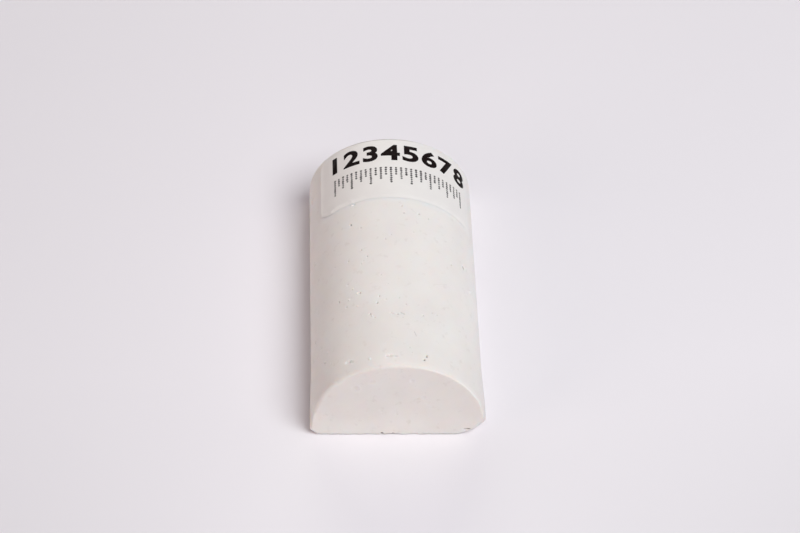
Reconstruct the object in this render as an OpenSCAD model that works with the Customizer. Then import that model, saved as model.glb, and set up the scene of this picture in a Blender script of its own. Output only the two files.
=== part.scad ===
// Half-round stick of repair wax for furniture, cast in an open mould, with a small paper label
// stuck round the crown at one end. Millimetres. The stick lies along Y on its flat base with its
// crown up and the label at its +Y end. The origin is the middle of the base.

/* [Wax bar] */
// Width across the base
bar_w = 34; // [28:0.5:38]
// Height of the crown above the base
bar_h = 19.75; // [17.5:0.25:24]
// Length along the base
bar_l = 62.5; // [45:0.5:120]
// Draft in degrees of both sides and both ends, which lets the cast bar out of its mould
draft = 2.9; // [0.5:0.1:5]
// Skew in degrees of both ends: how far each is from square to the length
end_skew = 1.65; // [0:0.05:3]
// Rounding of the rim at both ends
rim_r = 0.6; // [0.2:0.1:1]

/* [Wear] */
// Height of the broken corner of the front end, up the side
break_h = 4.6; // [1:0.1:6]
// Width of the broken corner along the base of the front end
break_w = 5.8; // [1:0.1:8]
// Depth of the broken corner along the side
break_l = 4; // [1:0.1:8]
// Size of the bruised opposite corner, as a share of the broken one
bruise_share = 0.36; // [0.1:0.02:0.6]
// Radius of the hollow behind the broken corner
hollow_r = 0.7; // [0.3:0.1:1.2]
// Radius of the largest air pits in the crown
pit_r = 0.5; // [0.2:0.05:0.8]
// Radius of the shell-shaped chip in the front edge of the base
chip_r = 4; // [2:0.5:6]
// Depth of that chip, square to the edge
chip_depth = 0.4; // [0.1:0.05:0.8]

/* [Label] */
// Length of the label round the crown
label_arc = 36.5; // [15:0.5:40]
// Length of the label along the bar
label_l = 16.1; // [8:0.1:30]
// Place of the label's middle, in degrees round the crown from its top
label_tilt = 5.8; // [-15:0.1:15]
// Turn of the label in degrees, past the skew of the ends
label_crook = 0.6; // [-2:0.1:2]
// Distance from the label to the back end, at the top of the crown
label_gap = 0.6; // [0.6:0.1:10]
// Thickness of the paper
paper_t = 0.12; // [0.08:0.01:0.3]
// Thickness of the adhesive under the paper
adhesive_t = 0.05; // [0.02:0.01:0.1]

/* [Hidden] */
$fn = 96;

// Steps of the section round the crown, and of the rounding at the rim
crown_steps = 60;
rim_steps = 5;
// Size of a corner cut's slanted face, as a share of the face that it leaves, so that it runs past it
cut_share = 2;

// The crown is the arc that runs smoothly into both drafted sides and reaches the full height
crown_r = (bar_w / 2 - bar_h * tan(draft)) / (1 / cos(draft) - tan(draft));
crown_z = bar_h - crown_r;
crown_angle = 90 - draft;

// The label's angle round the crown, and its middle along the bar
label_sweep = label_arc / crown_r * 180 / PI;
label_y = bar_l / 2 - bar_h * tan(draft) - label_gap - label_l / 2;

// Air pits that broke the crown's surface. Each has its place round the crown from the top, as a
// share of the crown's half angle, its place along the bar from the middle, as a share of half its
// length, and its radius as a share of pit_r.
pit_shares = [
    [-0.34, 0.27, 0.7], [-0.26, 0.21, 0.5], [-0.26, 0.02, 0.6], [-0.21, -0.05, 0.5],
    [-0.37, -0.04, 0.5], [-0.5, -0.03, 0.6], [-0.29, -0.33, 0.7], [-0.12, -0.4, 0.5],
    [-0.47, -0.34, 0.6], [-0.2, -0.53, 0.6], [0.04, -0.56, 0.5], [0.65, 0.03, 0.8],
    [0.5, -0.03, 0.5], [0.08, 0.36, 0.6], [0.09, 0.28, 0.5], [0.22, 0.3, 0.6],
    [-0.37, -0.87, 0.9], [-0.04, -0.89, 1], [0.21, -0.89, 0.8],
];

// The corner broke in two facets, a steep one and a flat one. Each has its height, width and length
// as shares of the whole break's.
facet_shares = [[1, 0.62, 0.8], [0.44, 1, 1]];

// The hollow's place across the base from the middle and up the end, and the chip's place across
// the base, as shares of half the width, of the height and of half the width
hollow_share = [0.8, 0.07];
chip_share = -0.11;

// Half the width of the bar at height z
function half_width(z) = bar_w / 2 - z * tan(draft);

// Y of an end's plane: side is -1 at the front end and 1 at the back
function end_y(side, x, z) = side * (bar_l / 2 - z * tan(draft)) - x * tan(end_skew);

// The section of the bar, set in from its surface all round but at the base, as [x, z]
function section(inset) = [
    [inset / cos(draft) - half_width(0), 0],
    for (step = [0:crown_steps])
        let(angle = crown_angle * (2 * step / crown_steps - 1))
            [(crown_r - inset) * sin(angle), crown_z + (crown_r - inset) * cos(angle)],
    [half_width(0) - inset / cos(draft), 0],
];

// One ring of the rounded rim: turn goes from 0, where the rim leaves the crown, to 90 in the end
function rim_ring(side, turn) = [
    for (point = section(rim_r * (1 - cos(turn))))
        [point.x, end_y(side, point.x, point.y) - side * rim_r * (1 - sin(turn)), point.y]
];

// The bar as it came out of the mould: rings from the front end to the back, joined by a skin
module cast_bar() {
    turns = [for (step = [0:rim_steps]) 90 * step / rim_steps];
    rings = concat(
        [for (step = [rim_steps:-1:0]) rim_ring(-1, turns[step])],
        [for (turn = turns) rim_ring(1, turn)]
    );
    count = len(rings[0]);
    last = len(rings) - 1;
    skin = [
        for (ring = [0:last - 1], i = [0:count - 2])
            [ring * count + i, (ring + 1) * count + i, (ring + 1) * count + i + 1, ring * count + i + 1]
    ];
    front = [for (i = [0:count - 1]) i];
    back = [for (i = [count - 1:-1:0]) last * count + i];
    base = concat(
        [for (ring = [last:-1:0]) ring * count],
        [for (ring = [0:last]) (ring + 1) * count - 1]
    );
    polyhedron([for (ring = rings) each ring], concat(skin, [front, back, base]));
}

// The tetrahedron that takes off the front end's lower corner on one side. It is h high up the
// corner's edge, w wide along the base and l long along the side.
module corner_cut(side, h, w, l) {
    corner = [side * half_width(0), end_y(-1, side * half_width(0), 0), 0];
    up_edge = [side * half_width(h), end_y(-1, side * half_width(h), h), h];
    across = [side * (half_width(0) - w), end_y(-1, side * (half_width(0) - w), 0), 0];
    along = [side * half_width(0), corner.y + l, 0];
    slant = side > 0 ? [up_edge, across, along] : [across, up_edge, along];
    middle = (up_edge + across + along) / len(slant);
    points = [for (tip = concat(slant, [corner * 2 - middle])) middle + cut_share * (tip - middle)];
    polyhedron(points, [[0, 1, 2], [0, 3, 1], [1, 3, 2], [2, 3, 0]]);
}

// A shell-shaped chip out of the front edge of the base
module edge_chip(x, r, depth) {
    reach = (r - depth) / sqrt(2);
    translate([x, end_y(-1, x, 0) - reach, -reach])
        sphere(r);
}

module pits() {
    for (pit = pit_shares)
        translate([
            crown_r * sin(pit.x * crown_angle),
            pit.y * bar_l / 2,
            crown_z + crown_r * cos(pit.x * crown_angle),
        ])
            sphere(pit_r * pit.z);
}

module wax_bar() {
    hollow = [hollow_share.x * bar_w / 2, hollow_share.y * bar_h];
    color([0.91, 0.9, 0.88])
        difference() {
            cast_bar();
            for (facet = facet_shares)
                corner_cut(1, break_h * facet.x, break_w * facet.y, break_l * facet.z);
            corner_cut(-1, break_h * bruise_share, break_w * bruise_share, break_l * bruise_share);
            edge_chip(chip_share * bar_w / 2, chip_r, chip_depth);
            translate([hollow.x, end_y(-1, hollow.x, hollow.y), hollow.y])
                sphere(hollow_r);
            pits();
        }
}

// One layer of the label: a strip of the crown's own curve, trimmed by a turned block
module crown_layer(inner_r, thickness) {
    intersection() {
        translate([0, 0, crown_z])
            rotate([-90, 0, 0])
                rotate([0, 0, label_tilt - label_sweep / 2 - 90])
                    rotate_extrude(angle = label_sweep, $fn = 360)
                        translate([inner_r, 0])
                            square([thickness, bar_l]);
        translate([0, label_y, 0])
            rotate([0, 0, -end_skew - label_crook])
                translate([-bar_w, -label_l / 2, 0])
                    cube([bar_w * 2, label_l, bar_h * 2]);
    }
}

module label_adhesive() {
    color([0.86, 0.84, 0.76])
        crown_layer(crown_r, adhesive_t);
}

module label_sheet() {
    color([0.93, 0.92, 0.92])
        crown_layer(crown_r + adhesive_t, paper_t);
}

wax_bar();
label_adhesive();
label_sheet();
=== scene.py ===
"""Looks of a furniture repair wax stick: a cast half-round bar of white wax with a small paper label.

Everything is in metres, in the frame of the part: the bar lies along Y on its flat base, and the
label is at its +Y end. Places round the crown are angles from its top, to the right of it positive.
"""

import math
import random

import bmesh
import bpy
import numpy as np
from mathutils import Matrix, Vector, noise


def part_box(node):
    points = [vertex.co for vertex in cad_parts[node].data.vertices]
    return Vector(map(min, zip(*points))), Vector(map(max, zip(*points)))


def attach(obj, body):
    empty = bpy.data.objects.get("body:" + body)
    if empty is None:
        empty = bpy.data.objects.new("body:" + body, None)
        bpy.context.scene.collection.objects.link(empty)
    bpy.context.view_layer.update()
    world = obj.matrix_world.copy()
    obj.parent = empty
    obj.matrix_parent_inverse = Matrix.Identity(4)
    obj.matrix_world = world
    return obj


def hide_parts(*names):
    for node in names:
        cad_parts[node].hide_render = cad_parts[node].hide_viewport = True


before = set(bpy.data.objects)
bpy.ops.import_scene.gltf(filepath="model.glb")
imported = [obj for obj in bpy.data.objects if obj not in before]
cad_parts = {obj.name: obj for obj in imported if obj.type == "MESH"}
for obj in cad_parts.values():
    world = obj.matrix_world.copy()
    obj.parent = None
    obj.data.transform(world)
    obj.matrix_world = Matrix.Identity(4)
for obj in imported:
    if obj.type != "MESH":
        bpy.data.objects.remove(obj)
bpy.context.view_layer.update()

MM = 0.001

# Points this close are one, and nothing is divided by less than this
TINY = 0.001 * MM

# The cast bar. Its width, height and length come from the frame, and the rest repeats the part's.
DRAFT = math.radians(2.9)
END_SKEW = math.radians(1.65)
RIM_R = 0.6 * MM
BAR_LOW, BAR_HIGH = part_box("wax_bar")
BAR_W = BAR_HIGH[0] - BAR_LOW[0]
BAR_H = BAR_HIGH[2]
BAR_L = 2 * (BAR_HIGH[1] - BAR_W / 2 * math.tan(END_SKEW))
CROWN_R = (BAR_W / 2 - BAR_H * math.tan(DRAFT)) / (1 / math.cos(DRAFT) - math.tan(DRAFT))
CROWN_Z = BAR_H - CROWN_R
CROWN_ANGLE = math.pi / 2 - DRAFT

# How finely the bar is built: rows round the crown, up a side, along the bar, over an end and in a
# rim. The rows over an end stop at this share of the way to its middle. The rims start out sharper
# than they are, since the wear rounds them.
CROWN_STEPS = 88
SIDE_STEPS = 6
LENGTH_STEPS = 88
CAP_STEPS = 26
CAP_SHARE = 0.985
RIM_STEPS = 5
SHARP_RIM_R = 0.3 * MM

# How often the mesh is split where its edges are too long for the wear there, and how many times
# too long they may be. Off the wear they may be longer by this share of the distance from it.
REFINE_PASSES = 3
REFINE_SLACK = 1.45
DISTANCE_SHARE = 0.5

# How long the mesh's edges may be on the rims, the base's edges and the breaks, and how far round
FRONT_RIM_MESH = (0.19 * MM, 1.2 * MM)
BACK_RIM_MESH = (0.3 * MM, 0.8 * MM)
FRONT_BASE_MESH = (0.11 * MM, 0.55 * MM)
BASE_MESH = (0.2 * MM, 0.4 * MM)
BREAK_MESH = (0.13 * MM, 0.2 * MM)

# The same for a mark: how far round in radii, how many edges there are to a radius, and the
# shortest edge that a mark asks for
MARK_MESH_REACH = 1.35
MARK_MESH_STEPS = 3.6
MARK_MESH_SHORTEST = 0.06 * MM

# Faces that meet at a larger angle have a sharp edge between them, on the bar and on the label
BAR_SHARP_ANGLE = math.radians(50)
LABEL_SHARP_ANGLE = math.radians(40)

# How far a seed moves smooth noise along X, Y and Z, in features. Each noise below has the size of
# its features and a seed.
SEED_STRIDES = (7.3, 3.1, 5.7)

# The facets of the broken corner and the bruised one, each with its side of the bar and its height
# up the edge, width of the end and length of the side
BREAKS = [
    (1, (5.1 * MM, 3.7 * MM, 3.4 * MM)),
    (1, (2.6 * MM, 6.4 * MM, 4.4 * MM)),
    (-1, (1.75 * MM, 1.9 * MM, 1.5 * MM)),
]

# How rough the breaks are, and how much finer roughness lies over that, as a share of it. Each
# break has seeds of its own. Points further inside than the band stay in place. Those that moved by
# the fresh depth are on fresh wax, which is this much worn.
BREAK_ROUGHNESS = 0.11 * MM
BREAK_NOISE = (0.8 * MM, 31)
BREAK_FINE_SHARE = 0.45
BREAK_FINE_NOISE = (0.25 * MM, 32)
BREAK_SEED_STEP = 5
BREAK_BAND = 0.5 * MM
FRESH_DEPTH = 0.2 * MM
FRESH_WEAR = 0.6

# The shape of a mark, in its radii: how far it can reach, how rough its outline is and how large
# that roughness is, between which distances its depth and its dirt and painted shade end, and its
# lip rises and ends, and how light the lip is painted, for wear and a painted highlight
MARK_REACH = 1.8
MARK_ROUGHNESS = 0.28
MARK_GRAIN = 0.9
MARK_WALL = (0.35, 1.0)
MARK_DARKENING = (0.2, 0.8)
LIP_RISE = (0.7, 1.0)
LIP_END = (1.1, 1.5)
LIP_WEAR_AND_HIGHLIGHT = 0.5

# Air pits in the crown: angle in degrees, and place along the bar, radius and depth in millimetres.
# The last number is how much dirt a pit holds.
CROWN_PITS = [
    (-29.8, 8.2, 0.30, 0.35, 1.0),
    (57.0, 0.9, 0.60, 0.34, 1.0),
    (-10.8, -12.4, 0.26, 0.16, 0.3),
    (-12.2, -14.0, 0.28, 0.28, 0.6),
    (-17.3, -16.5, 0.28, 0.20, 0.3),
    (-24.0, -10.5, 0.28, 0.26, 0.5),
    (19.6, -27.2, 0.32, 0.38, 1.0),
    (17.7, -28.2, 0.28, 0.32, 0.9),
    (-22.3, 6.5, 0.25, 0.16, 0.25),
    (-22.2, 0.6, 0.25, 0.14, 0.35),
    (-18.2, -1.5, 0.25, 0.16, 0.35),
    (-22.7, -3.1, 0.25, 0.07, 0.05),
    (-32.3, -1.2, 0.28, 0.13, 0.2),
    (-44.1, -0.9, 0.25, 0.08, 0.05),
    (7.0, 11.3, 0.28, 0.12, 0.15),
    (8.1, 9.3, 0.25, 0.16, 0.2),
    (18.7, 9.6, 0.32, 0.20, 0.3),
    (25.7, 8.9, 0.22, 0.15, 0.2),
    (-5.2, 2.3, 0.22, 0.12, 0.2),
    (-1.3, 3.4, 0.22, 0.09, 0.12),
    (14.1, 4.3, 0.28, 0.07, 0.05),
    (43.3, -1.0, 0.26, 0.25, 0.6),
    (55.8, 3.3, 0.25, 0.20, 0.3),
    (66.2, 9.0, 0.26, 0.20, 0.3),
    (-9.1, -7.0, 0.24, 0.09, 0.1),
    (-4.6, -9.5, 0.22, 0.06, 0.05),
    (-33.3, -7.2, 0.28, 0.08, 0.06),
    (-41.0, -10.5, 0.28, 0.18, 0.3),
    (-34.5, -12.8, 0.24, 0.14, 0.25),
    (-6.3, -13.4, 0.24, 0.08, 0.07),
    (6.8, -14.8, 0.26, 0.11, 0.12),
    (2.4, -13.2, 0.22, 0.10, 0.12),
    (-14.2, -17.6, 0.24, 0.12, 0.15),
    (21.3, -19.2, 0.24, 0.07, 0.07),
    (8.1, -25.6, 0.24, 0.10, 0.1),
    (9.4, -26.8, 0.22, 0.08, 0.08),
    (-56.3, -22.9, 0.32, 0.20, 0.2),
    (-60.1, -18.3, 0.28, 0.20, 0.2),
    (18.1, -17.2, 0.26, 0.13, 0.15),
    (24.6, -16.0, 0.20, 0.15, 0.1),
    (28.3, -16.1, 0.22, 0.15, 0.1),
    (-26.4, 13.4, 0.24, 0.20, 0.4),
    (-49.0, -24.5, 0.30, 0.08, 0.05),
]

# Crumbs of wax on the crown: angle in degrees, and place, radius and height in millimetres
CROWN_CRUMBS = [
    (62.3, -4.5, 0.45, 0.38),
    (-29.2, -8.8, 0.26, 0.14),
    (-26.2, -10.3, 0.30, 0.16),
    (-26.2, -13.5, 0.24, 0.11),
    (-32.5, -11.2, 0.28, 0.13),
    (-18.6, -27.6, 0.32, 0.16),
    (-28.4, 13.3, 0.30, 0.26),
    (-16.0, -17.0, 0.26, 0.15),
    (-53.0, -21.0, 0.34, 0.10),
]

# Scratches and long pits in the crown: angle and place of both ends, radius and depth, and dirt.
# Two pits near the front rim get deeper to the right, so they are rows of marks.
CROWN_SCRATCHES = [
    ((-35.4, -26.6), (-34.0, -26.6), 0.44, 0.22, 0.0),
    ((-33.6, -26.7), (-32.8, -26.7), 0.42, 0.16, 0.0),
    ((-32.2, -26.8), (-31.8, -26.8), 0.42, 0.06, 0.0),
    ((-30.9, -27.0), (-30.4, -27.1), 0.38, 0.05, 0.12),
    ((-6.6, -27.5), (-5.4, -27.5), 0.44, 0.26, 0.0),
    ((-4.8, -27.5), (-4.2, -27.5), 0.42, 0.16, 0.0),
    ((-3.4, -27.6), (-3.0, -27.6), 0.40, 0.08, 0.0),
    ((-1.5, -27.7), (-0.8, -27.8), 0.38, 0.08, 0.12),
    ((11.6, -21.5), (12.9, -22.6), 0.12, 0.06, 0.35),
    ((26.5, -8.6), (37.9, -7.1), 0.16, 0.03, 0.1),
    ((0.9, -17.3), (1.5, -17.3), 0.22, 0.14, 0.35),
    ((3.2, -16.9), (5.6, -17.3), 0.18, 0.10, 0.3),
    ((3.9, -18.1), (4.8, -18.2), 0.16, 0.06, 0.1),
    ((-3.4, -16.9), (-1.6, -17.2), 0.24, 0.16, 0.0),
    ((-8.4, -24.9), (-4.2, -23.4), 0.18, 0.03, 0.0),
    ((-20.9, -2.4), (-21.2, -2.6), 0.18, 0.05, 0.05),
    ((13.2, 10.6), (16.2, 9.9), 0.14, 0.06, 0.1),
]

# Dents in the front end: place across and up it, radius and depth in millimetres, and dirt, which on
# the bottom edge by the chip is painted shadow of the gap under it. The ones with a depth below zero
# are a flake of wax on its bottom edge.
FRONT_DENTS = [
    (-8.0, 13.2, 0.80, 0.11, 0.0),
    (-4.9, 15.0, 0.65, 0.08, 0.0),
    (2.7, 15.4, 0.55, 0.08, 0.0),
    (-3.3, 6.8, 0.45, 0.05, 0.0),
    (-0.4, 5.7, 0.40, 0.06, 0.0),
    (3.8, 10.1, 0.45, 0.07, 0.05),
    (4.9, 10.7, 0.55, 0.07, 0.0),
    (6.5, 7.7, 0.45, 0.06, 0.0),
    (5.7, 9.1, 0.60, 0.05, 0.0),
    (-14.2, 5.5, 0.60, 0.08, 0.0),
    # The last four sit in the chip on the bottom edge, painted dark as painted shadow of the gap
    # under it
    (-3.1, 0.42, 0.45, 0.16, 1.0),
    (-2.8, 0.15, 0.5, -0.14, 0.9),
    (-2.3, 0.15, 0.5, -0.12, 0.8),
    (-1.0, 0.3, 0.5, 0.09, 1.0),
]

# The undercut in the broken corner: a dent in the front end, painted fully dark as painted shadow
# under the overhang, and how much wider than high it is
NOTCH = (13.35, 1.5, 0.6, 0.4, 1.0)
NOTCH_FLATNESS = 3.0

# The chip in the front edge of the base: its middle across, half its length, and its depth
CHIP_X = -1.4 * MM
CHIP_REACH = 1.5 * MM
CHIP_DEPTH = 0.1 * MM

# The foot of the bar flares out a little towards the front end: how far, up to what height, and
# from how far in front of the middle it starts and is full
FLARE = 0.3 * MM
FLARE_HEIGHT = 5 * MM
FLARE_AHEAD = (14 * MM, 26 * MM)

# How far the base's edges are rounded, how unevenly, how deep their nicks are, and how much more
# the front edge is rounded
BASE_EDGE_R = 0.2 * MM
BASE_EDGE_ROUGHNESS = 0.8
BASE_EDGE_NOISE = (1.6 * MM, 21)
BASE_NICK = 0.12 * MM
BASE_NICK_NOISE = (0.4 * MM, 22)
FRONT_EDGE_FACTOR = 2.4

# How dark the edges of the base are painted, with dirt and with painted shade where the bar meets the
# floor, up to what height, how much higher for the chip's depth, and how unevenly
BASE_DARKENING = 0.4
BASE_DARKENING_HEIGHT = 0.35 * MM
CHIP_DARKENING_FACTOR = 1.5
BASE_DARKENING_ROUGHNESS = 0.5
BASE_DARKENING_NOISE = (1.2 * MM, 23)

# The waves of the cast wax and the ripples on them: their noise, and how deep they are on the crown
# and sides and on the ends
WAVE_NOISE = (7 * MM, 51)
RIPPLE_NOISE = (1.6 * MM, 52)
SKIN_WAVE = 0.028 * MM
SKIN_RIPPLE = 0.010 * MM
END_WAVE = 0.05 * MM
END_RIPPLE = 0.016 * MM

# How far under the surface they end, up to what height over the base they fade in, and how far in
# from an end's outline
SKIN_DEPTH = 0.4 * MM
END_SKIN_DEPTH = 0.3 * MM
SKIN_WAVE_FOOT = 1.5 * MM
END_WAVE_FOOT = 1 * MM
END_WAVE_EDGE = 1.5 * MM

# The shallow hollow in the base: its depth, how much of that is even, its noise, how far in from
# the edges it is full, and the height of the points that it moves
SHRINK_DEPTH = 0.25 * MM
SHRINK_EVEN = 0.6
SHRINK_NOISE = (9 * MM, 53)
SHRINK_REACH = 5 * MM
SHRINK_SKIN = 0.05 * MM

# How far both rims are rounded, as shares of RIM_R, all along and where they are knocked, and how
# deep their nicks are, which are where their noise is above a floor. Each rim takes the next seed.
RIM_SHARE = 1.05
KNOCK_SHARE = 0.35
KNOCK_NOISE = (2.2 * MM, 1)
RIM_NICK = 0.16 * MM
RIM_NICK_FLOOR = 0.1
RIM_NICK_NOISE = (0.5 * MM, 11)

# How much more the front rim is rounded on the left, at what height and how far up and down, and
# how unevenly
BRUISE_R = 0.3 * MM
BRUISE_HEIGHT = 8.2 * MM
BRUISE_REACH = 1.8 * MM
BRUISE_ROUGHNESS = 0.3
BRUISE_NOISE = (1.5 * MM, 4)

# How much sharper the front rim is to the right and near the base, and where that starts and ends
SHARPER = 0.5
SHARPER_ACROSS = (0, 12 * MM)
SHARPER_UP = (4.5 * MM, 9.0 * MM)

# The crown has a little painted shade towards the front and the right: how much, where that starts
# and is full, in front of the middle and across, and how far behind the front rim it is full
FRONT_RIGHT_SHADE = 0.045
FRONT_RIGHT_SHADE_AHEAD = (2 * MM, 28 * MM)
FRONT_RIGHT_SHADE_ACROSS = (-4 * MM, 6 * MM)
FRONT_RIGHT_SHADE_BEHIND_RIM = 1 * MM

# Between which shares of its rounding a rim's darkening ends. How dirty the front rim is, and how
# much painted shade darkens the back rim beside the label, and where and how far round.
RIM_DARKENING = (0.7, 1.1)
FRONT_RIM_GRIME = 0.05
BACK_RIM_SHADE = 0.55
BACK_RIM_MIDDLE = -2.5 * MM
BACK_RIM_REACH = 8 * MM

# Unseen faces get this many pits each, drawn at random: their radius in millimetres, depth as a
# share of it, and dirt, their angle in degrees and place as a share of half the length on the
# crown's flanks, and their place across and up the back end, this far inside its crown
STRAY_SEED = 5
STRAY_PITS = 22
STRAY_RADIUS = (0.18, 0.42)
STRAY_DEPTH_SHARE = (0.5, 1.0)
STRAY_GRIME = (0, 0.5)
STRAY_ANGLE = (68, 86)
STRAY_LENGTH_SHARE = (-0.92, 0.9)
STRAY_ACROSS = (-13, 13)
STRAY_UP = (1.5, 16.5)
STRAY_CLEARANCE = 2

# The label, as the part has it
LABEL_ARC = 36.5 * MM
LABEL_L = 16.1 * MM
LABEL_TILT = math.radians(5.8)
LABEL_CROOK = math.radians(0.6)
LABEL_GAP = 0.6 * MM
PAPER_T = 0.12 * MM
ADHESIVE_T = 0.05 * MM
LABEL_Y = BAR_L / 2 - BAR_H * math.tan(DRAFT) - LABEL_GAP - LABEL_L / 2

# How finely each layer of the label is built: steps round the crown and along the bar
LABEL_STEPS = (150, 60)

# The label's rounded corners, each with its reach round the crown and along the bar. The front left
# one is torn shorter.
LABEL_CORNER = (1.1 * MM, 1.1 * MM)
TORN_CORNER = (2.4 * MM, 1.0 * MM)

# The heights over the crown of the bottom and the top of the adhesive, and of the top of the paper:
# at the border, which is pressed into the wax, and inside it. Then how far in the border reaches,
# and how far the adhesive stays inside the paper's edge.
BORDER_LIFTS = (-0.04 * MM, -0.025 * MM, -0.003 * MM)
INNER_LIFTS = (-0.04 * MM, ADHESIVE_T, ADHESIVE_T + PAPER_T)
PRESSED_REACH = 1.0 * MM
ADHESIVE_INSET = 0.05 * MM

# How the label's front left corner and its left edge lift, and where its front edge bulges: how far
# in, and how high, and between which places round the crown
PEEL_REACH = 3.6 * MM
PEEL_LIFT = 0.32 * MM
EDGE_REACH = 1.2 * MM
EDGE_LIFT = 0.17 * MM
BULGE_REACH = 2.6 * MM
BULGE_LIFT = 0.1 * MM
BULGE_FROM = -15.4 * MM
BULGE_TO = -9.6 * MM
BULGE_FADE = 1.2 * MM

# How far from the label the wax is painted lighter, as painted light against the shade that the label
# casts into it
LABEL_LIGHT_REACH = 1.6 * MM

# Creases in the label's front edge: how far round the crown, and their radius and height
CREASES = (-15.2 * MM, -10.1 * MM)
CREASE_R = 0.4 * MM
CREASE_LIFT = 0.14 * MM

# The waves of the paper: how high they lift it on average, and their size
PAPER_WAVE = 0.010 * MM
PAPER_WAVE_SIZE = 3 * MM

# The printed scale on the label: its numbers, and the dotted ticks below them, both up the bar from
# the label's middle. SCALE_START is how far round the label the scale's own middle is. Ticks at
# numbers have the most dots, and each dot strays in place and size.
SCALE_NUMBERS = "12345678"
SCALE_PITCH = 4.12 * MM
SCALE_START = 0.45 * MM
NUMBER_HEIGHT = 4.35 * MM
NUMBER_ACROSS = 4.3 * MM
NUMBER_STRETCH = 1.28
NUMBER_BOLDNESS = 0.035
NUMBER_CURVE_STEPS = 6
TICK_ACROSS = 0
TICK_DOTS = (8, 4, 6, 4)
DOT_PITCH = 0.56 * MM
DOT_R = 0.25 * MM
DOT_R_SHARE = (0.85, 1.1)
DOT_STRAY = 0.03 * MM
DOT_SIDES = 10
DOT_SEED = 11

# The ink: how thick it is, how far over the paper, and how finely it is bent round the label
INK_T = 0.012 * MM
INK_GAP = 0.014 * MM
INK_STEP = 0.35 * MM

# Colours. Where there are two, noise mixes them.
WAX_COLOURS = ((0.80, 0.755, 0.73), (0.84, 0.80, 0.775))
WAX_SPECK_COLOUR = (0.7, 0.64, 0.61)
# The lighter wax is for wear, and also for painted light by the label and on the lips of marks
WORN_AND_PAINTED_LIGHT_COLOUR = (0.85, 0.81, 0.79)
# The dark colour is for dirt, and also for painted shade and shadow
DIRT_AND_SHADE_COLOUR = (0.20, 0.16, 0.145)
PAPER_COLOURS = ((0.82, 0.78, 0.76), (0.85, 0.815, 0.79))
ADHESIVE_COLOURS = ((0.80, 0.77, 0.74), (0.64, 0.60, 0.57))
BLACK_INK_COLOURS = ((0.006, 0.002, 0.002), (0.014, 0.008, 0.008))
GREY_INK_COLOURS = ((0.08, 0.07, 0.07), (0.20, 0.19, 0.19))

# How far light goes into the wax, at what shares for red, green and blue, and how much of it does
WAX_LIGHT_REACH = 1.6 * MM
WAX_LIGHT_SHARES = (1.0, 0.62, 0.45)
WAX_LIGHT_WEIGHT = 0.5

# Where most values of a noise texture lie, and where only its highest do, and how the wax's streaks
# are stretched along the bar
MOST_NOISE = (0.3, 0.7)
HIGH_NOISE = (0.62, 0.78)
STREAK_SCALE = (1, 0.06, 1)

# Camera: where it looks on the floor, how far it is turned and raised and how far off it is, its
# lens and sensor in millimetres, and the nearest and the furthest that it sees
VIEW_TARGET = (1.29 * MM, 12.31 * MM, 0)
VIEW_TURN = math.radians(1.764)
VIEW_ELEVATION = math.radians(48.655)
VIEW_DISTANCE = 516.9 * MM
VIEW_LENS = 112.37
VIEW_SENSOR = 36
VIEW_RANGE = (0.01, 20)

# Lamps: azimuth from +X and elevation in degrees, half the angle that the lamp fills, and the level
# and colour of its light on a surface square to it, where 1 shows a colour as it is written. The
# sky gives a little light from all round.
LAMP_DISTANCE = 0.9
LAMPS = {
    "key": (-35, 56, 18, (0.80, 0.83, 0.83)),
    "left_bounce": (203, 18, 17, (0.21, 0.18, 0.16)),
    "back_bounce": (92, 20, 18, (0.27, 0.27, 0.24)),
    "front_bounce": (-95, 22, 20, (0.12, 0.11, 0.11)),
    "back_right_fill": (50, 40, 22, (0.02, 0.01, 0.03)),
    "back_left_fill": (140, 35, 22, (0.10, 0.09, 0.10)),
}
SKY = (0.025, 0.025, 0.025, 1)

# The floor: how far it reaches, its colour, and how that darkens to the sides: from which middle,
# from how far out to how far, and by what share, which grows towards the front by a factor
FLOOR_REACH = 2.0
FLOOR_ROUGHNESS = 0.7
FLOOR_COLOUR = (0.84, 0.80, 0.84)
FLOOR_SHADE_COLOUR = (0.70, 0.67, 0.70)
FLOOR_SHADE_MIDDLE = -10 * MM
FLOOR_SIDE_SHADE = (15 * MM, 90 * MM, 0, 0.225)
FLOOR_FRONT_FACTOR = (15 * MM, 55 * MM, 1, 3.2)


def half_width(z):
    """Half the width of the bar at height z."""
    return BAR_W / 2 - z * math.tan(DRAFT)


def end_y(side, x, z):
    """Y of an end's plane. side is -1 at the front end and 1 at the back."""
    return side * (BAR_L / 2 - z * math.tan(DRAFT)) - x * math.tan(END_SKEW)


def crown_point(angle, y, lift=0.0):
    """A point over the crown, at an angle from its top."""
    r = CROWN_R + lift
    return Vector((r * math.sin(angle), y, CROWN_Z + r * math.cos(angle)))


def rise(value, low, high):
    """0 below low, 1 above high, and a smooth rise between them. Works on arrays."""
    share = np.clip((value - low) / (high - low), 0, 1)
    return share * share * (3 - 2 * share)


def swell(value, middle, reach, power):
    """1 at the middle, and nearly 0 well past the reach. A higher power makes it more square."""
    return np.exp(-(((value - middle) / reach) ** power))


def wander(points, kind, more=0):
    """Smooth noise from about -1 to 1. kind is its size and its seed, to which more is added."""
    size, seed = kind
    offset = Vector([(seed + more) * stride for stride in SEED_STRIDES])
    return np.array([noise.noise(Vector(p) / size + offset) for p in points])


def linked(name, data):
    """A new object in the scene."""
    obj = bpy.data.objects.new(name, data)
    bpy.context.scene.collection.objects.link(obj)
    return obj


def finished_mesh(name, bm):
    """A mesh of what was built in bm, which is freed."""
    mesh = bpy.data.meshes.new(name)
    bm.to_mesh(mesh)
    bm.free()
    return mesh


# Materials


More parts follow.
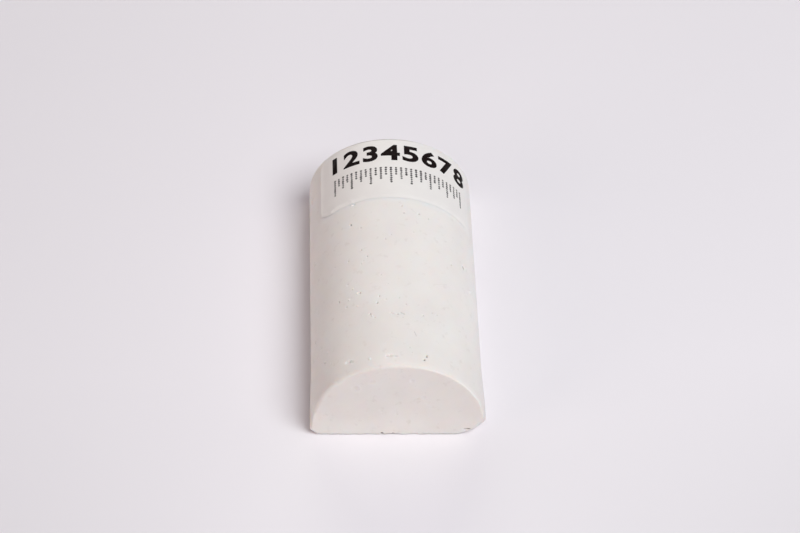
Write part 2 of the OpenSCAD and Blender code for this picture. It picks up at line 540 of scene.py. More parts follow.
class Paint:
    """A material with one plain shader, and the nodes that feed it."""

    def __init__(self, name):
        self.material = bpy.data.materials.new(name)
        self.material.use_nodes = True
        self.nodes = self.material.node_tree.nodes
        self.nodes.clear()
        out = self.nodes.new("ShaderNodeOutputMaterial")
        self.shader = self.node("BsdfPrincipled", {})
        self.feed(out, {"Surface": self.shader.outputs["BSDF"]})
        self.where = self.node("TexCoord", {}).outputs["Object"]

    def feed(self, node, inputs):
        """Gives a node's inputs, named or numbered, numbers, colours or other nodes' outputs."""
        for key, value in inputs.items():
            if isinstance(value, bpy.types.NodeSocket):
                self.material.node_tree.links.new(value, node.inputs[key])
            else:
                node.inputs[key].default_value = value

    def node(self, kind, inputs):
        node = self.nodes.new("ShaderNode" + kind)
        self.feed(node, inputs)
        return node

    def noise(self, scale, detail, roughness=0.5, where=None):
        """A noise texture, with scale in features a metre."""
        inputs = {"Scale": scale, "Detail": detail, "Roughness": roughness}
        inputs["Vector"] = self.where if where is None else where
        return self.node("TexNoise", inputs).outputs["Fac"]

    def ramp(self, value, low, high, out_low=0.0, out_high=1.0):
        """Maps a value from low..high to out_low..out_high, clamped."""
        ends = {"From Min": low, "From Max": high, "To Min": out_low, "To Max": out_high}
        return self.node("MapRange", {**ends, "Value": value}).outputs["Result"]

    def mix(self, factor, low, high):
        """Mixes two colours by a factor."""
        node = self.nodes.new("ShaderNodeMix")
        node.data_type = "RGBA"
        colours = [index for index, socket in enumerate(node.inputs) if socket.type == "RGBA"]
        inputs = {"Factor": factor}
        for index, value in zip(colours, (low, high)):
            inputs[index] = (*value, 1) if isinstance(value, tuple) else value
        self.feed(node, inputs)
        return [socket for socket in node.outputs if socket.type == "RGBA"][0]

    def bump(self, height, strength, distance, below=None):
        """A bump from a height, over another bump if there is one."""
        inputs = {"Strength": strength, "Distance": distance, "Height": height}
        if below is not None:
            inputs["Normal"] = below
        return self.node("Bump", inputs).outputs["Normal"]

    def work_out(self, operation, first, second=0.0):
        """The result of one sum."""
        node = self.node("Math", {0: first, 1: second})
        node.operation = operation
        return node.outputs["Value"]

    def attribute(self, name):
        """A value that the mesh holds for each point."""
        node = self.nodes.new("ShaderNodeAttribute")
        node.attribute_name = name
        return node.outputs["Fac"]

    def finish(self, **inputs):
        """Feeds the shader, whose inputs are named with _ for each space, and gives the material."""
        self.feed(self.shader, {key.replace("_", " "): value for key, value in inputs.items()})
        return self.material


def wax_material():
    paint = Paint("cast_wax")
    cloud = paint.noise(scale=110, detail=4)
    grain = paint.noise(scale=1500, detail=3)
    specks = paint.noise(scale=700, detail=2)
    along = paint.node("Mapping", {"Scale": STREAK_SCALE, "Vector": paint.where})
    streaks = paint.noise(scale=900, detail=2, where=along.outputs["Vector"])
    base = paint.mix(paint.ramp(cloud, *MOST_NOISE), *WAX_COLOURS)
    base = paint.mix(paint.ramp(specks, *HIGH_NOISE, out_high=0.5), base, WAX_SPECK_COLOUR)
    # Lighter for wear, and for painted light by the label and on the lips of marks
    base = paint.mix(paint.attribute("wear_and_painted_light"), base, WORN_AND_PAINTED_LIGHT_COLOUR)
    # Darker for dirt, and for painted shade and shadow at the back rim, the base edges, the front
    # chip and the crown's front and right
    base = paint.mix(paint.attribute("grime"), base, DIRT_AND_SHADE_COLOUR)
    roughness = paint.ramp(grain, *MOST_NOISE, out_low=0.58, out_high=0.72)
    normal = paint.bump(streaks, strength=0.06, distance=0.05 * MM)
    normal = paint.bump(grain, strength=0.12, distance=0.02 * MM, below=normal)
    return paint.finish(
        Base_Color=base,
        Roughness=roughness,
        Normal=normal,
        Subsurface_Weight=WAX_LIGHT_WEIGHT,
        Subsurface_Radius=WAX_LIGHT_SHARES,
        Subsurface_Scale=WAX_LIGHT_REACH,
        IOR=1.44,
        Specular_IOR_Level=0.22,
    )


def paper_material():
    paint = Paint("label_paper")
    fibre = paint.noise(scale=2600, detail=4, roughness=0.6)
    cloud = paint.noise(scale=220, detail=3)
    return paint.finish(
        Base_Color=paint.mix(paint.ramp(cloud, *MOST_NOISE), *PAPER_COLOURS),
        Roughness=paint.ramp(fibre, *MOST_NOISE, out_low=0.45, out_high=0.6),
        Normal=paint.bump(fibre, strength=0.15, distance=0.01 * MM),
    )


def ink_material(name, colours):
    """Printing ink, worn thin in places."""
    paint = Paint(name)
    thin = paint.noise(scale=1800, detail=3, roughness=0.6)
    return paint.finish(
        Base_Color=paint.mix(paint.ramp(thin, low=0.4, high=0.75), *colours),
        Roughness=0.6,
        Specular_IOR_Level=0.08,
    )


def adhesive_material():
    paint = Paint("label_adhesive")
    dust = paint.noise(scale=900, detail=4)
    return paint.finish(
        Base_Color=paint.mix(paint.ramp(dust, low=0.35, high=0.7), *ADHESIVE_COLOURS),
        Roughness=paint.ramp(dust, *MOST_NOISE, out_low=0.35, out_high=0.6),
        Normal=paint.bump(dust, strength=0.2, distance=0.01 * MM),
    )


# The bar's undamaged skin


def section(inset):
    """The bar's section, set in from its surface all round but at the base, as rows of x and z."""
    angle = np.linspace(-CROWN_ANGLE, CROWN_ANGLE, CROWN_STEPS + 1)
    r = CROWN_R - inset
    arc = np.stack([r * np.sin(angle), CROWN_Z + r * np.cos(angle)], 1)
    foot = half_width(0) - inset / math.cos(DRAFT)
    share = np.linspace(0, 1, SIDE_STEPS, endpoint=False)
    side = np.stack([foot + (arc[-1, 0] - foot) * share, arc[-1, 1] * share], 1)
    return np.concatenate([side * (-1, 1), arc, side[::-1]])


def bar_rings():
    """Rings of points from the middle of the front end to the middle of the back one."""

    def ring(side, inset, back):
        flat = section(inset)
        y = end_y(side, flat[:, 0], flat[:, 1]) - side * back
        return np.stack([flat[:, 0], y, flat[:, 1]], 1)

    def end(side):
        deepest = CROWN_R * CAP_SHARE
        caps = [ring(side, inset, 0) for inset in np.linspace(deepest, SHARP_RIM_R, CAP_STEPS)]
        turns = np.linspace(math.pi / 2, 0, RIM_STEPS + 1)[1:]
        rim = [
            ring(side, SHARP_RIM_R * (1 - math.cos(turn)), SHARP_RIM_R * (1 - math.sin(turn)))
            for turn in turns
        ]
        return caps + rim

    front, back = end(-1), end(1)[::-1]
    shares = np.linspace(0, 1, LENGTH_STEPS)[1:-1]
    middle = [front[-1] + (back[0] - front[-1]) * share for share in shares]
    return np.array(front + middle + back)


def bar_mesh():
    """The bar as it came out of the mould: rings joined by a skin, closed by its ends and base."""
    rings = bar_rings()
    count, width, _ = rings.shape
    points = [tuple(p) for p in rings.reshape(-1, 3)]

    def grid_faces(start, rows, columns):
        return [
            (i, i + 1, i + columns + 1, i + columns)
            for r in range(rows - 1)
            for i in range(start + r * columns, start + (r + 1) * columns - 1)
        ]

    faces = grid_faces(0, count, width)
    faces += [tuple(range(width)), tuple(range((count - 1) * width, count * width))]
    feet = rings[:CAP_STEPS, -1, 0] / rings[CAP_STEPS - 1, -1, 0]
    share = (np.concatenate([-feet[::-1], feet]) + 1) / 2
    rows = rings[CAP_STEPS - 1 : count - CAP_STEPS + 1]
    base = rows[:, :1] + (rows[:, -1:] - rows[:, :1]) * share[None, :, None]
    faces += grid_faces(len(points), len(rows), len(share))
    points += [tuple(p) for p in base.reshape(-1, 3)]
    bm = bmesh.new()
    verts = [bm.verts.new(p) for p in points]
    for face in faces:
        bm.faces.new([verts[i] for i in face])
    bmesh.ops.remove_doubles(bm, verts=bm.verts, dist=TINY)
    bmesh.ops.recalc_face_normals(bm, faces=bm.faces)
    return bm


# Depths of points inside the bar's faces, and the directions into it


def inside_outline(points):
    """How far points lie inside the crown or the sides, and the directions straight into the bar."""
    x, z = points[:, 0], points[:, 2] - CROWN_Z
    r = np.maximum(np.hypot(x, z), TINY)
    on_crown = z > np.abs(x) * math.tan(DRAFT)
    side_depth = (half_width(points[:, 2]) - np.abs(x)) * math.cos(DRAFT)
    depth = np.where(on_crown, CROWN_R - r, side_depth)
    inward = np.zeros_like(points)
    inward[:, 0] = np.where(on_crown, -x / r, -np.sign(x) * math.cos(DRAFT))
    inward[:, 2] = np.where(on_crown, -z / r, -math.sin(DRAFT))
    return depth, inward


def inside_end(points, side):
    """How far points lie inside an end's plane, and the direction straight into the bar."""
    depth = side * (end_y(side, points[:, 0], points[:, 2]) - points[:, 1]) * math.cos(DRAFT)
    inward = np.array([0, -side * math.cos(DRAFT), -math.sin(DRAFT)])
    return depth, np.broadcast_to(inward, points.shape)


def inside_base(points):
    """How far points lie over the base, and the direction straight up."""
    return points[:, 2].copy(), np.broadcast_to(np.array([0.0, 0.0, 1.0]), points.shape)


def round_edge(points, first, second, radius):
    """Moves the points that lie outside a rounding of the edge between two faces on to it."""
    (a, inward_a), (b, inward_b) = first, second
    out_a, out_b = radius - a, radius - b
    reach = np.hypot(out_a, out_b)
    outside = (out_a > 0) & (out_b > 0) & (reach > radius)
    pull = np.where(outside, 1 - radius / np.maximum(reach, TINY), 0)
    points += inward_a * (out_a * pull)[:, None] + inward_b * (out_b * pull)[:, None]


# Wear


class Mark:
    """A pit, crumb, dent or scratch: a rounded hollow, or a lump where its depth is negative."""

    def __init__(self, start, end, out, radius, depth, grime, flatness=1.0):
        self.start, self.end = np.array(start), np.array(end)
        self.out = np.array(Vector(out).normalized())
        self.radius, self.depth, self.grime, self.flatness = radius, depth, grime, flatness

    def distance(self, points):
        """How far points are from the mark's middle line, as a share of its radius."""
        line = self.end - self.start
        from_start = points - self.start
        along = np.clip(from_start @ line / max(line @ line, TINY**2), 0, 1)
        off = from_start - along[:, None] * line
        off[:, 2] *= self.flatness
        return np.sqrt((off**2).sum(1)) / (self.radius * math.sqrt(self.flatness))


def crown_mark(start, end, radius, depth, grime):
    """A mark on the crown. start and end hold an angle in degrees and a place in millimetres."""
    a = crown_point(math.radians(start[0]), start[1] * MM)
    b = crown_point(math.radians(end[0]), end[1] * MM)
    middle = (a + b) / 2
    out = (middle.x, 0, middle.z - CROWN_Z)
    return Mark(a, b, out, radius * MM, depth * MM, grime)


def end_mark(side, x, z, radius, depth, grime, flatness=1.0):
    """A mark on an end, with its place across and up the end in millimetres."""
    place = (x * MM, end_y(side, x * MM, z * MM), z * MM)
    out = (0, side, math.tan(DRAFT))
    return Mark(place, place, out, radius * MM, depth * MM, grime, flatness)


def stray_marks():
    """Pits at random on the back end and on the crown's unseen flanks."""
    draw = random.Random(STRAY_SEED)

    def size():
        radius = draw.uniform(*STRAY_RADIUS)
        return radius, radius * draw.uniform(*STRAY_DEPTH_SHARE), draw.uniform(*STRAY_GRIME)

    marks = []
    for _ in range(STRAY_PITS):
        angle = draw.choice((-1, 1)) * draw.uniform(*STRAY_ANGLE)
        place = (angle, draw.uniform(*STRAY_LENGTH_SHARE) * BAR_L / 2 / MM)
        marks.append(crown_mark(place, place, *size()))
    for _ in range(STRAY_PITS):
        x, z = draw.uniform(*STRAY_ACROSS), draw.uniform(*STRAY_UP)
        if math.hypot(x, z - CROWN_Z / MM) < CROWN_R / MM - STRAY_CLEARANCE:
            marks.append(end_mark(1, x, z, *size()))
    return marks


def all_marks():
    marks = [crown_mark((a, y), (a, y), r, depth, grime) for a, y, r, depth, grime in CROWN_PITS]
    marks += [crown_mark((a, y), (a, y), r, -height, 0) for a, y, r, height in CROWN_CRUMBS]
    marks += [crown_mark(*scratch) for scratch in CROWN_SCRATCHES]
    marks += [end_mark(-1, *dent) for dent in FRONT_DENTS]
    marks.append(end_mark(-1, *NOTCH, NOTCH_FLATNESS))
    return marks + stray_marks()


def press_marks(points, marks):
    """Sinks or lifts the points under marks. Gives how light each point is painted, for wear and a
    painted highlight, and how dark, for dirt and painted shadow.
    """
    wear_and_painted_light, grime = np.zeros(len(points)), np.zeros(len(points))
    for number, mark in enumerate(marks):
        off = mark.distance(points)
        near = np.flatnonzero(off < MARK_REACH)
        uneven = wander(points[near], (mark.radius * MARK_GRAIN, number))
        rough = off[near] * (1 + MARK_ROUGHNESS * uneven)
        shape = 1 - rise(rough, *MARK_WALL)
        points[near] -= mark.out * (shape * mark.depth)[:, None]
        darkening = mark.grime * (1 - rise(rough, *MARK_DARKENING))
        grime[near] = np.maximum(grime[near], darkening)
        lip = rise(rough, *LIP_RISE) * (1 - rise(rough, *LIP_END))
        # A hollow gets a lighter lip, partly wear and partly a painted highlight, and a lump is
        # lighter all over
        wear_and_painted_light[near] = np.maximum(wear_and_painted_light[near], LIP_WEAR_AND_HIGHLIGHT * lip if mark.depth > 0 else shape)
    return wear_and_painted_light, grime


def break_plane(side, size):
    """The plane of a front corner's break: a point in it, and its direction out of the bar."""
    height, width, length = size
    corner_x = side * half_width(0)
    corner = Vector((corner_x, end_y(-1, corner_x, 0), 0))
    edge_x = side * half_width(height)
    up_edge = Vector((edge_x, end_y(-1, edge_x, height), height))
    across_x = corner_x - side * width
    across = Vector((across_x, end_y(-1, across_x, 0), 0))
    along = corner + Vector((0, length, 0))
    out = (across - up_edge).cross(along - up_edge).normalized()
    if out.dot(corner - up_edge) < 0:
        out = -out
    return np.array((up_edge + across + along) / 3), np.array(out)


def break_corner(points, side, size, number):
    """Moves the points beyond a corner's rough break on to it, and gives how fresh each one is."""
    more = BREAK_SEED_STEP * number
    middle, out = break_plane(side, size)
    beyond = (points - middle) @ out
    near = np.flatnonzero(beyond > -BREAK_BAND)
    close = points[near]
    rough = BREAK_ROUGHNESS * wander(close, BREAK_NOISE, more)
    rough += BREAK_FINE_SHARE * BREAK_ROUGHNESS * wander(close, BREAK_FINE_NOISE, more)
    moved = np.maximum(beyond[near] + np.abs(rough), 0)
    points[near] -= out * moved[:, None]
    fresh = np.zeros(len(points))
    fresh[near] = rise(moved, 0, FRESH_DEPTH)
    return fresh


def wear_rims(points):
    """Rounds both rims, more where they are knocked, and most down the left of the front one.

    Gives how near each point is to the front rim, and to the back rim.
    """
    z = points[:, 2].copy()
    left = points[:, 0] < 0
    bands = []
    for number, side in enumerate((-1, 1)):
        outline, end = inside_outline(points), inside_end(points, side)
        knocks = np.maximum(wander(points, KNOCK_NOISE, number), 0)
        nicks = np.maximum(wander(points, RIM_NICK_NOISE, number) - RIM_NICK_FLOOR, 0)
        rim = RIM_R * (RIM_SHARE + KNOCK_SHARE * knocks) + RIM_NICK * nicks
        if side < 0:
            sharp = np.maximum(rise(points[:, 0], *SHARPER_ACROSS), 1 - rise(z, *SHARPER_UP))
            rim *= 1 - SHARPER * sharp
            bruised = swell(z, BRUISE_HEIGHT, BRUISE_REACH, power=2) * left
            rim += BRUISE_R * bruised * (1 + BRUISE_ROUGHNESS * wander(points, BRUISE_NOISE))
        round_edge(points, outline, end, rim)
        inner = np.maximum(outline[0], end[0]) / rim
        bands.append(1 - rise(inner, *RIM_DARKENING))
    return bands


def wear_base_edges(points):
    """Rounds and chips the edges of the base. Gives how dark each point is painted, with dirt and
    painted contact shade.
    """
    edge = BASE_EDGE_R * (1 + BASE_EDGE_ROUGHNESS * wander(points, BASE_EDGE_NOISE))
    edge += BASE_NICK * np.abs(wander(points, BASE_NICK_NOISE))
    chip = CHIP_DEPTH * swell(points[:, 0], CHIP_X, CHIP_REACH, power=4)
    front_edge = FRONT_EDGE_FACTOR * edge + chip
    round_edge(points, inside_base(points), inside_end(points, -1), front_edge)
    round_edge(points, inside_base(points), inside_end(points, 1), edge)
    round_edge(points, inside_base(points), inside_outline(points), edge)
    rough = 1 + BASE_DARKENING_ROUGHNESS * wander(points, BASE_DARKENING_NOISE)
    dark_height = BASE_DARKENING_HEIGHT + CHIP_DARKENING_FACTOR * chip
    return BASE_DARKENING * rough * (1 - rise(points[:, 2], 0, dark_height))


def cast_waves(points):
    """The waves of cast wax, only ever inwards, and none where the bar rests."""
    z = points[:, 2].copy()
    depth, inward = inside_outline(points)
    wave = (1 + wander(points, WAVE_NOISE)) / 2
    ripple = (1 + wander(points, RIPPLE_NOISE)) / 2
    skin = (1 - rise(depth, 0, SKIN_DEPTH)) * rise(z, 0, SKIN_WAVE_FOOT)
    points += inward * (skin * (SKIN_WAVE * wave + SKIN_RIPPLE * ripple))[:, None]
    in_face = rise(depth, 0, END_WAVE_EDGE)
    for side in (-1, 1):
        end, into = inside_end(points, side)
        face = (1 - rise(end, 0, END_SKIN_DEPTH)) * in_face * rise(z, 0, END_WAVE_FOOT)
        points += into * (face * (END_WAVE * wave + END_RIPPLE * ripple))[:, None]
    # The base is the open top of the mould, where the wax shrank into a shallow hollow
    under = (1 - rise(z, 0, SHRINK_SKIN)) * rise(depth, 0, SHRINK_REACH)
    for side in (-1, 1):
        under *= rise(inside_end(points, side)[0], 0, SHRINK_REACH)
    uneven = SHRINK_EVEN + (1 - SHRINK_EVEN) * wander(points, SHRINK_NOISE)
    points[:, 2] += under * SHRINK_DEPTH * uneven


def flare_foot(points):
    """Spreads the foot of the bar towards its front end."""
    low = 1 - rise(points[:, 2], 0, FLARE_HEIGHT)
    ahead = rise(-points[:, 1], *FLARE_AHEAD)
    points[:, 0] += FLARE * points[:, 0] / half_width(0) * low * ahead
    points[:, 1] -= FLARE * low * ahead


def painted_light_by_label(points):
    """How much painted light the wax takes at each point, against the shade that the label casts into
    it: 1 under the label, and 0 well away from it.
    """
    angle = np.arctan2(points[:, 0], points[:, 2] - CROWN_Z)
    along = (angle - LABEL_TILT) * CROWN_R
    across = points[:, 1] - LABEL_Y + CROWN_R * np.sin(angle) * math.tan(END_SKEW + LABEL_CROOK)
    past_arc, past_l = np.abs(along) - LABEL_ARC / 2, np.abs(across) - LABEL_L / 2
    off = np.hypot(np.maximum(past_arc, 0), np.maximum(past_l, 0))
    return 1 - rise(off, 0, LABEL_LIGHT_REACH)


def front_right_shade_share(points):
    """How much painted shade each point of the crown takes, more to the front and the right. The ends
    and their rims take none.
    """
    ahead = rise(-points[:, 1], *FRONT_RIGHT_SHADE_AHEAD)
    across = rise(points[:, 0], *FRONT_RIGHT_SHADE_ACROSS)
    return ahead * across * rise(inside_end(points, -1)[0], RIM_R, RIM_R + FRONT_RIGHT_SHADE_BEHIND_RIM)


def wear_bar(points):
    """Wears the cast bar as the real one is worn. Gives how light each point is painted, for wear and
    painted light, and how dark, for dirt and painted shade.
    """
    front_rim, back_rim = wear_rims(points)
    base_dirt_and_shade = wear_base_edges(points)
    fresh = np.zeros(len(points))
    for number, (side, size) in enumerate(BREAKS):
        fresh = np.maximum(fresh, break_corner(points, side, size, number))
    cast_waves(points)
    at_back_rim = swell(points[:, 0], BACK_RIM_MIDDLE, BACK_RIM_REACH, power=4)
    wear_and_painted_light, grime = press_marks(points, all_marks())
    flare_foot(points)
    points[:, 2] = np.maximum(points[:, 2], 0)
    # Fresh breaks are lighter, and painted light lightens the wax by the label
    wear_and_painted_light = np.maximum(wear_and_painted_light, np.maximum(FRESH_WEAR * fresh, painted_light_by_label(points)))
    # The front rim gets a little dirt, and the back rim beside the label gets painted shade
    rim_dirt_and_shade = np.maximum(FRONT_RIM_GRIME * front_rim, BACK_RIM_SHADE * back_rim * at_back_rim)
    darkening = np.maximum(base_dirt_and_shade * (1 - fresh), rim_dirt_and_shade)
    # Painted shade darkens the crown towards the front and the right
    return wear_and_painted_light, np.maximum(grime, darkening) + FRONT_RIGHT_SHADE * front_right_shade_share(points)


def wanted_length(points, marks):
    """How long the mesh's edges may be round each point."""
    wanted = np.full(len(points), BAR_L)
    for mark in marks:
        off = np.maximum(mark.distance(points) - MARK_MESH_REACH, 0) * mark.radius
        fine = max(mark.radius / MARK_MESH_STEPS, MARK_MESH_SHORTEST)
        wanted = np.minimum(wanted, fine + off * DISTANCE_SHARE)
    outline = inside_outline(points)[0]
    front, back = inside_end(points, -1)[0], inside_end(points, 1)[0]
    z = points[:, 2]
    for first, second, (fine, band) in (
        (outline, front, FRONT_RIM_MESH),
        (outline, back, BACK_RIM_MESH),
        (z, front, FRONT_BASE_MESH),
        (z, outline, BASE_MESH),
        (z, back, BASE_MESH),
    ):
        off = np.maximum(np.hypot(first, second) - band, 0)
        wanted = np.minimum(wanted, fine + off * DISTANCE_SHARE)
    fine, band = BREAK_MESH
    for side, size in BREAKS:
        middle, out = break_plane(side, size)
        off = np.maximum(-band - (points - middle) @ out, 0)
        wanted = np.minimum(wanted, fine + off * DISTANCE_SHARE)
    return wanted


def refine(bm):
    """Splits the faces that are too coarse for the wear near them, each time in four."""
    marks = all_marks()
    for _ in range(REFINE_PASSES):
        faces = [face for face in bm.faces if len(face.verts) <= 4]
        centers = np.array([face.calc_center_median() for face in faces])
        longest = wanted_length(centers, marks) * REFINE_SLACK
        coarse = [
            face
            for face, length in zip(faces, longest)
            if max(edge.calc_length() for edge in face.edges) > length
        ]
        edges = list({edge for face in coarse for edge in face.edges})
        bmesh.ops.subdivide_edges(bm, edges=edges, cuts=1, use_grid_fill=True)


def new_piece(mesh, material, node=None):
    """Links a piece that rides on the root body, and may stand for a CAD node."""
    piece = linked(mesh.name, mesh)
    mesh.materials.append(material)
    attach(piece, "root")
    if node:
        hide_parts(node)


def wax_bar():
    bm = bar_mesh()
    refine(bm)
    mesh = finished_mesh("wax_bar_cast", bm)
    flat = np.empty(len(mesh.vertices) * 3, dtype=np.float32)
    mesh.vertices.foreach_get("co", flat)
    points = flat.reshape(-1, 3).astype(float)
    wear_and_painted_light, grime = wear_bar(points)
    mesh.vertices.foreach_set("co", points.astype(np.float32).ravel())
    for name, values in (("wear_and_painted_light", wear_and_painted_light), ("grime", grime)):
        attribute = mesh.attributes.new(name, "FLOAT", "POINT")
        attribute.data.foreach_set("value", values.astype(np.float32))
    mesh.update()
    mesh.shade_smooth()
    mesh.set_sharp_from_angle(angle=BAR_SHARP_ANGLE)
    new_piece(mesh, wax_material(), "wax_bar")


# Label


def label_point(along, across, lift):
    """A point over the label: along runs round the crown from its middle, and across up the bar."""
    angle = LABEL_TILT + along / CROWN_R
    y = LABEL_Y + across - CROWN_R * math.sin(angle) * math.tan(END_SKEW + LABEL_CROOK)
    return crown_point(angle, y, lift)


def label_reach(along, side, inset):
    """How far the label reaches from its middle to its front edge or its back one."""
    torn = along < 0 and side < 0
    wide, deep = TORN_CORNER if torn else LABEL_CORNER
    into_corner = max(abs(along) - (LABEL_ARC / 2 - inset - wide), 0) / wide
    short = into_corner if torn else 1 - math.sqrt(max(1 - into_corner**2, 0))
    return LABEL_L / 2 - inset - deep * short


def label_lifts(along, across, border):
    """Heights over the crown of the bottom and top of the adhesive, and of the top of the paper.

    border is how far in from the border the place is.
    """
    from_left, from_front = along + LABEL_ARC / 2, across + LABEL_L / 2
    peel = PEEL_LIFT * max(1 - math.hypot(from_left, from_front) / PEEL_REACH, 0) ** 2
    peel = max(peel, EDGE_LIFT * max(1 - from_left / EDGE_REACH, 0) ** 2)
    within = rise(min(along - BULGE_FROM, BULGE_TO - along), 0, BULGE_FADE)
    bulge = BULGE_LIFT * within * (1 - rise(from_front, 0, BULGE_REACH))
    inside = float(rise(border, 0, PRESSED_REACH))
    lift = peel + inside * float(bulge)
    for crease in CREASES:
        off = math.hypot(along - crease, from_front - CREASE_R) / CREASE_R
        lift += CREASE_LIFT * math.exp(-(off**2))
    wave = PAPER_WAVE * (1 + noise.noise(Vector((along, across, 0)) / PAPER_WAVE_SIZE))
    low, middle, high = (a + (b - a) * inside for a, b in zip(BORDER_LIFTS, INNER_LIFTS))
    return low + lift, middle + lift, high + lift + inside * wave


def label_layer(node, material, layers, inset):
    """A sheet that follows the crown, between two of the label's heights."""
    columns, rows = LABEL_STEPS
    half_arc = LABEL_ARC / 2 - inset

    def spread(step, steps):
        """From -1 to 1 in steps that are shorter near both ends."""
        share = 2 * step / steps - 1
        return (share + math.sin(share * math.pi / 2)) / 2

    bm = bmesh.new()
    grid = {}
    for i in range(columns + 1):
        along = half_arc * spread(i, columns)
        ahead, behind = label_reach(along, -1, inset), label_reach(along, 1, inset)
        for j in range(rows + 1):
            across = (behind - ahead) / 2 + (behind + ahead) / 2 * spread(j, rows)
            border = min(half_arc - along, across + ahead, behind - across) + inset
            lifts = label_lifts(along, across, border)
            for side, layer in enumerate(layers):
                grid[side, i, j] = bm.verts.new(label_point(along, across, lifts[layer]))
    for i in range(columns):
        for j in range(rows):
            corners = [(i, j), (i + 1, j), (i + 1, j + 1), (i, j + 1)]
            for side in (0, 1):
                bm.faces.new([grid[side, a, b] for a, b in corners])
    outline = (
        [(i, 0) for i in range(columns)]
        + [(columns, j) for j in range(rows)]
        + [(i, rows) for i in range(columns, 0, -1)]
        + [(0, j) for j in range(rows, 0, -1)]
    )
    for (a, b), (c, d) in zip(outline, outline[1:] + outline[:1]):
        bm.faces.new([grid[0, a, b], grid[0, c, d], grid[1, c, d], grid[1, a, b]])
    bmesh.ops.recalc_face_normals(bm, faces=bm.faces)
    mesh = finished_mesh(node + "_shaped", bm)
    mesh.shade_smooth()
    mesh.set_sharp_from_angle(angle=LABEL_SHARP_ANGLE)
    new_piece(mesh, material, node)


def thicken(bm):
    """Makes flat faces into plates as thick as ink."""
    made = bmesh.ops.extrude_face_region(bm, geom=list(bm.faces))["geom"]
    tops = [item for item in made if isinstance(item, bmesh.types.BMVert)]
    bmesh.ops.translate(bm, verts=tops, vec=(0, 0, INK_T))


def wrapped_print(name, bm, material):
    """Bends a flat print round the label."""
    last = round(LABEL_ARC / 2 / INK_STEP)
    for number in range(-last, last + 1):
        geometry = [*bm.verts, *bm.edges, *bm.faces]
        cut = (number * INK_STEP, 0, 0)
        bmesh.ops.bisect_plane(bm, geom=geometry, plane_co=cut, plane_no=(1, 0, 0))
    thicken(bm)
    for vert in bm.verts:
        lift = ADHESIVE_T + PAPER_T + INK_GAP + vert.co.z
        vert.co = label_point(vert.co.x, vert.co.y, lift)
    bmesh.ops.recalc_face_normals(bm, faces=bm.faces)
    new_piece(finished_mesh(name, bm), material)


def number_places():
    """Where each number of the scale stands round the label."""
    middle = (len(SCALE_NUMBERS) - 1) / 2
    return [(i - middle) * SCALE_PITCH + SCALE_START for i in range(len(SCALE_NUMBERS))]


def scale_numbers():
    """The scale's numbers, in a wide bold face."""
    bm = bmesh.new()
    for digit, along in zip(SCALE_NUMBERS, number_places()):
        curve = bpy.data.curves.new("digit", "FONT")
        curve.body = digit
        curve.offset = NUMBER_BOLDNESS
        curve.resolution_u = NUMBER_CURVE_STEPS
        text = bpy.data.objects.new("digit", curve)
        mesh = bpy.data.meshes.new_from_object(text)
        corners = np.array([v.co for v in mesh.vertices])
        low, high = corners.min(0), corners.max(0)
        scale = NUMBER_HEIGHT / (high[1] - low[1])
        middle = (low + high) / 2
        mesh.transform(Matrix.Translation((-middle[0], -middle[1], 0)))
        mesh.transform(Matrix.Diagonal((scale * NUMBER_STRETCH, scale, 1, 1)))
        mesh.transform(Matrix.Translation((along, NUMBER_ACROSS, 0)))
        bm.from_mesh(mesh)
        bpy.data.meshes.remove(mesh)
        bpy.data.objects.remove(text)
        bpy.data.curves.remove(curve)
    bmesh.ops.remove_doubles(bm, verts=bm.verts, dist=TINY)
    wrapped_print("label_scale_numbers", bm, ink_material("black_ink", BLACK_INK_COLOURS))


def scale_ticks():
    """The dotted ticks below the numbers, as an ink jet prints them, long at each number."""
    draw = random.Random(DOT_SEED)
    bm = bmesh.new()
    first = number_places()[0]
    divisions = len(TICK_DOTS)
    for tick in range((len(SCALE_NUMBERS) - 1) * divisions + 1):
        for dot in range(TICK_DOTS[tick % divisions]):
            x = first + tick * SCALE_PITCH / divisions + draw.uniform(-1, 1) * DOT_STRAY
            y = TICK_ACROSS - dot * DOT_PITCH + draw.uniform(-1, 1) * DOT_STRAY
            place = Matrix.Translation((x, y, 0))
            r = DOT_R * draw.uniform(*DOT_R_SHARE)
            bmesh.ops.create_circle(bm, cap_ends=True, segments=DOT_SIDES, radius=r, matrix=place)
    wrapped_print("label_scale_ticks", bm, ink_material("grey_ink", GREY_INK_COLOURS))


# Stage


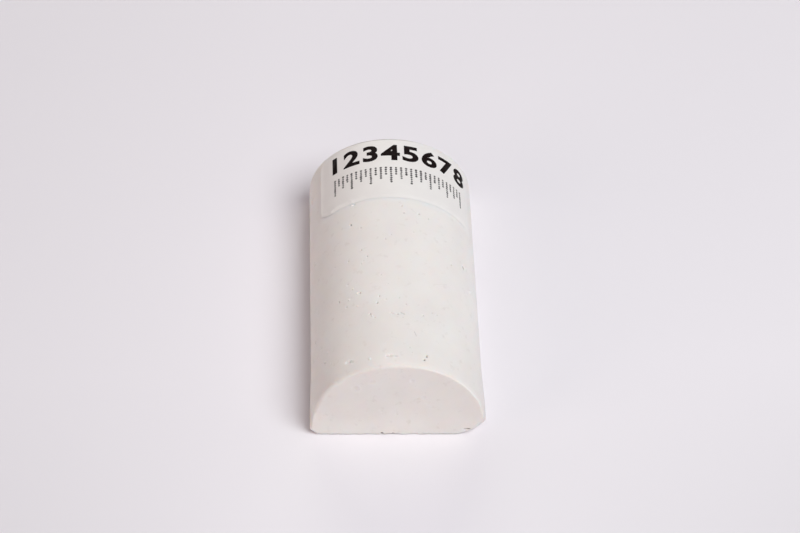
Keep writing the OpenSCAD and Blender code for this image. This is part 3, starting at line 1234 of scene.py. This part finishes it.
def floor():
    mesh = bpy.data.meshes.new("floor")
    signs = ((-1, -1), (1, -1), (1, 1), (-1, 1))
    corners = [(x * FLOOR_REACH, y * FLOOR_REACH, 0) for x, y in signs]
    mesh.from_pydata(corners, [], [(0, 1, 2, 3)])
    obj = linked("floor", mesh)
    paint = Paint("floor_paint")
    place = paint.node("SeparateXYZ", {"Vector": paint.where})
    from_middle = paint.work_out("SUBTRACT", place.outputs["X"], FLOOR_SHADE_MIDDLE)
    side_shade = paint.ramp(paint.work_out("ABSOLUTE", from_middle), *FLOOR_SIDE_SHADE)
    ahead = paint.work_out("MULTIPLY", place.outputs["Y"], -1.0)
    shade = paint.work_out("MULTIPLY", side_shade, paint.ramp(ahead, *FLOOR_FRONT_FACTOR))
    base = paint.mix(shade, FLOOR_COLOUR, FLOOR_SHADE_COLOUR)
    mesh.materials.append(paint.finish(Base_Color=base, Roughness=FLOOR_ROUGHNESS))


def lamp(name, azimuth, elevation, half_angle, light):
    """A round soft lamp that points at the origin and gives a level of light there."""
    up = math.radians(elevation)
    out = Matrix.Rotation(math.radians(azimuth), 3, "Z") @ Vector((math.cos(up), 0, math.sin(up)))
    radius = LAMP_DISTANCE * math.tan(math.radians(half_angle))
    level = max(light)
    data = bpy.data.lights.new(name, "AREA")
    data.shape = "DISK"
    data.size = radius * 2
    data.color = [channel / level for channel in light]
    data.energy = level * math.pi**2 * (radius**2 + LAMP_DISTANCE**2)
    obj = linked(name, data)
    obj.location = out * LAMP_DISTANCE
    obj.rotation_euler = out.to_track_quat("Z", "Y").to_euler()
    obj.visible_camera = False


def lights():
    for name, settings in LAMPS.items():
        lamp(name, *settings)
    world = bpy.data.worlds.new("studio")
    world.use_nodes = True
    world.node_tree.nodes["Background"].inputs["Color"].default_value = SKY
    bpy.context.scene.world = world


def camera():
    data = bpy.data.cameras.new("camera")
    data.lens = VIEW_LENS
    data.sensor_width = VIEW_SENSOR
    data.clip_start, data.clip_end = VIEW_RANGE
    obj = linked("camera", data)
    ahead = Vector((0, math.cos(VIEW_ELEVATION), -math.sin(VIEW_ELEVATION)))
    turn = Matrix.Rotation(-VIEW_TURN, 3, "Z")
    obj.location = turn @ (Vector(VIEW_TARGET) - ahead * VIEW_DISTANCE)
    obj.rotation_euler = (turn @ ahead).to_track_quat("-Z", "Y").to_euler()
    bpy.context.scene.camera = obj


wax_bar()
label_layer("label_adhesive", adhesive_material(), (0, 1), ADHESIVE_INSET)
label_layer("label_sheet", paper_material(), (1, 2), 0)
scale_numbers()
scale_ticks()
floor()
lights()
camera()

bpy.context.scene.view_settings.view_transform = "Standard"
